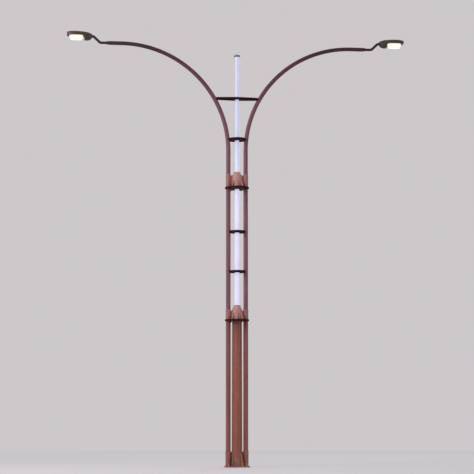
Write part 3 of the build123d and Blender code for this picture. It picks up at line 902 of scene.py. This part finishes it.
# Lantern fittings: hinges between door and glass frame, and a latch at the tip
hingeSizes = {
    "radius": 0.007, "length": 0.05, "sides": 16, "across": 0.075, "back": 0.012, "drop": 0.004,
    "pinInset": 0.003, "pinProud": 0.0015, "bevel": 0.001,
}
latchSizes = {
    "width": 0.05, "length": 0.045, "height": 0.022, "setBack": 0.03, "drop": 0.003,
    "tipShares": (1, 0.6, 0.5), "bevel": 0.004, "bevelSteps": 3,
}


def makeHinge(place):
    spec = hingeSizes
    barrel = addRound(spec["radius"], spec["length"], place, spec["sides"], (math.radians(90), 0, 0))

    def shapePin():  # the ends of the pin stand a little proud
        bpy.ops.mesh.inset(thickness=spec["pinInset"])
        bpy.ops.transform.shrink_fatten(value=spec["pinProud"])

    shapeFaces(barrel, lambda face: abs(face.normal.z) > facing, shapePin)
    bevelPiece(barrel, spec["bevel"])
    return barrel


def makeLatch(place, side):
    spec = latchSizes
    clearSelection()
    bpy.ops.mesh.primitive_cube_add(size=1, location=place)
    latch = bpy.context.object
    scalePiece(latch, (spec["length"], spec["width"], spec["height"]))

    def narrowTip():
        bpy.ops.transform.resize(value=spec["tipShares"], center_override=place)

    shapeFaces(latch, lambda face: face.normal.x * side > facing, narrowTip)
    bevelPiece(latch, spec["bevel"], spec["bevelSteps"])
    return latch


fittings = []
for sideName, side in sides.items():
    frameLow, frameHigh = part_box(f"{sideName}_glass_frame")
    root, tip = (frameLow.x, frameHigh.x) if side > 0 else (frameHigh.x, frameLow.x)
    hingeReach = root + side * hingeSizes["back"]
    for across in (-hingeSizes["across"], hingeSizes["across"]):
        fittings.append(makeHinge((hingeReach, across, frameLow.z - hingeSizes["drop"])))
    latchReach = tip - side * latchSizes["setBack"]
    fittings.append(makeLatch((latchReach, 0, frameLow.z - latchSizes["drop"]), side))
finishPiece(fittings, "lantern_fittings", "lanternPaint")

# Gaskets and screws of the glass frames
gasketSizes = {
    "corner": 0.112, "cornerSteps": 12, "lip": 0.007, "depth": 0.006, "sink": 0.0008, "bevel": 0.0015,
}


def makeGasket(middle, length, width, top):  # rounded ring that hugs the bowl under its frame
    spec = gasketSizes
    clearSelection()
    bpy.ops.mesh.primitive_plane_add(size=1, location=(middle, 0, top))
    gasket = bpy.context.object
    scalePiece(gasket, (length + 2 * spec["lip"], width + 2 * spec["lip"], 1))
    bpy.ops.object.mode_set(mode="EDIT")
    bpy.ops.mesh.select_all(action="SELECT")
    bpy.ops.mesh.bevel(offset=spec["corner"] + spec["lip"], segments=spec["cornerSteps"], affect="VERTICES")
    bpy.ops.mesh.select_all(action="SELECT")
    bpy.ops.mesh.inset(thickness=spec["lip"])
    bpy.ops.mesh.delete(type="FACE")
    bpy.ops.mesh.select_all(action="SELECT")
    bpy.ops.mesh.extrude_region_move(TRANSFORM_OT_translate={"value": (0, 0, -spec["depth"])})
    bpy.ops.mesh.select_all(action="SELECT")
    bpy.ops.mesh.normals_make_consistent(inside=False)
    bpy.ops.object.mode_set(mode="OBJECT")
    bevelPiece(gasket, spec["bevel"])
    return gasket


gaskets = []
framePlaces = []
sinks = 2 * gasketSizes["sink"]
for sideName in sides:
    glassLow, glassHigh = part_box(f"{sideName}_drop_glass")
    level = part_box(f"{sideName}_glass_frame")[0].z
    middle = (glassLow.x + glassHigh.x) / 2
    length = glassHigh.x - glassLow.x
    gaskets.append(makeGasket(middle, length - sinks, glassHigh.y - glassLow.y - sinks, level))
    reach = length / 2 - gasketSizes["corner"] / 2
    for across in (glassLow.y - screwSizes["frameOut"], glassHigh.y + screwSizes["frameOut"]):
        framePlaces += [(middle + step * reach, across, level) for step in (-1, 1)]
finishPiece(gaskets, "glass_gaskets", "darkRubber")
frameTurns = [Euler((0, math.radians(90), 0))] * len(framePlaces)
finishPiece(copiesAt(screwModel, framePlaces, frameTurns), "frame_screws", "boltZinc")
dropModel(screwModel)
print("lantern fittings made")

# Stage
stageSizes = {
    "floor": 400.0, "floorPaint": (0.8, 0.77, 0.78, 1), "floorRoughness": 0.9,
    "backdrop": (0.78, 0.745, 0.765, 1), "backdropStrength": 0.78,
    "nearShare": 0.35, "nearRadius": 5.0, "farRadius": 30.0,
    "skyLight": (0.9, 0.93, 1.0, 1), "skyStrength": 0.55,
}


def glowOf(tree, kind, colour, strength):
    node = addNode(tree, kind)
    feed(tree, node, {"Color": colour, "Strength": strength})
    return node.outputs[0]


def mixShaders(tree, share, first, second):
    blend = addNode(tree, "ShaderNodeMixShader")
    feed(tree, blend, dict(enumerate((share, first, second))))
    return blend.outputs["Shader"]


def makeFloor():  # blends into the backdrop far from the pole, for the camera only
    spec = stageSizes
    clearSelection()
    bpy.ops.mesh.primitive_plane_add(size=spec["floor"], location=(0, 0, 0))
    floor = bpy.context.object
    floor.name = "floor"
    material, tree, shader = newMaterial("paleFloor")
    feed(tree, shader, {"Base Color": spec["floorPaint"], "Roughness": spec["floorRoughness"]})
    fromPole = addNode(tree, "ShaderNodeVectorMath", operation="LENGTH")
    feed(tree, fromPole, {0: objectPlace(tree)})
    farShare = rangeOf(
        tree, fromPole.outputs["Value"], spec["nearRadius"], spec["farRadius"], spec["nearShare"]
    )
    seen = addNode(tree, "ShaderNodeLightPath").outputs["Is Camera Ray"]
    glow = glowOf(tree, "ShaderNodeEmission", spec["backdrop"], spec["backdropStrength"])
    blend = mixShaders(tree, productOf(tree, farShare, seen), shader.outputs["BSDF"], glow)
    feed(tree, tree.nodes["Material Output"], {"Surface": blend})
    floor.data.materials.append(material)


def lightWorld():  # soft light on the object, and the backdrop for the camera and in gloss
    spec = stageSizes
    world = bpy.context.scene.world or bpy.data.worlds.new("studio")
    bpy.context.scene.world = world
    world.use_nodes = True
    tree = world.node_tree
    tree.nodes.clear()
    soft = glowOf(tree, "ShaderNodeBackground", spec["skyLight"], spec["skyStrength"])
    backdrop = glowOf(tree, "ShaderNodeBackground", spec["backdrop"], spec["backdropStrength"])
    path = addNode(tree, "ShaderNodeLightPath").outputs
    seen = mathOf(tree, "MAXIMUM", path["Is Camera Ray"], path["Is Glossy Ray"])
    leave = addNode(tree, "ShaderNodeOutputWorld")
    feed(tree, leave, {"Surface": mixShaders(tree, seen, soft, backdrop)})


makeFloor()
lightWorld()

# Lamps and camera
lampLooks = {
    "keyLamp": {
        "place": (-17, -11, 14), "aim": (0, 0, 6), "size": 9, "power": 2100, "tint": (1.0, 0.94, 0.9),
    },
    "fillLamp": {
        "place": (14, -12, 8), "aim": (0, 0, 6), "size": 10, "power": 160, "tint": (0.92, 0.94, 1.0),
    },
    "backLamp": {
        "place": (8, 16, 14), "aim": (0, 0, 7), "size": 9, "power": 600, "tint": (1.0, 0.95, 0.98),
    },
}
cameraSizes = {
    "distance": 45.0, "azimuth": -6.4, "eyeHeight": 1.3, "aimHeight": 5.81, "lens": 118.4, "sensor": 36.0,
    "shift": 0.06, "farthest": 600.0,
}


def placeInScene(name, data, place, aim):
    item = bpy.data.objects.new(name, data)
    item.location = place
    item.rotation_euler = (Vector(aim) - Vector(place)).to_track_quat("-Z", "Y").to_euler()
    bpy.context.scene.collection.objects.link(item)
    return item


for name, look in lampLooks.items():
    lamp = bpy.data.lights.new(name, "AREA")
    lamp.size = look["size"]
    lamp.energy = look["power"]
    lamp.color = look["tint"]
    placeInScene(name, lamp, look["place"], look["aim"])

camera = bpy.data.cameras.new("photoCamera")
camera.lens = cameraSizes["lens"]
camera.sensor_width = cameraSizes["sensor"]
camera.shift_y = cameraSizes["shift"]
camera.clip_end = cameraSizes["farthest"]
turn = math.radians(cameraSizes["azimuth"])
distance = cameraSizes["distance"]
eye = (distance * math.sin(turn), -distance * math.cos(turn), cameraSizes["eyeHeight"])
aim = (0, 0, cameraSizes["aimHeight"])
bpy.context.scene.camera = placeInScene("photoCamera", camera, eye, aim)

bpy.context.scene.view_settings.view_transform = "Standard"

print("stage, light and camera ready")
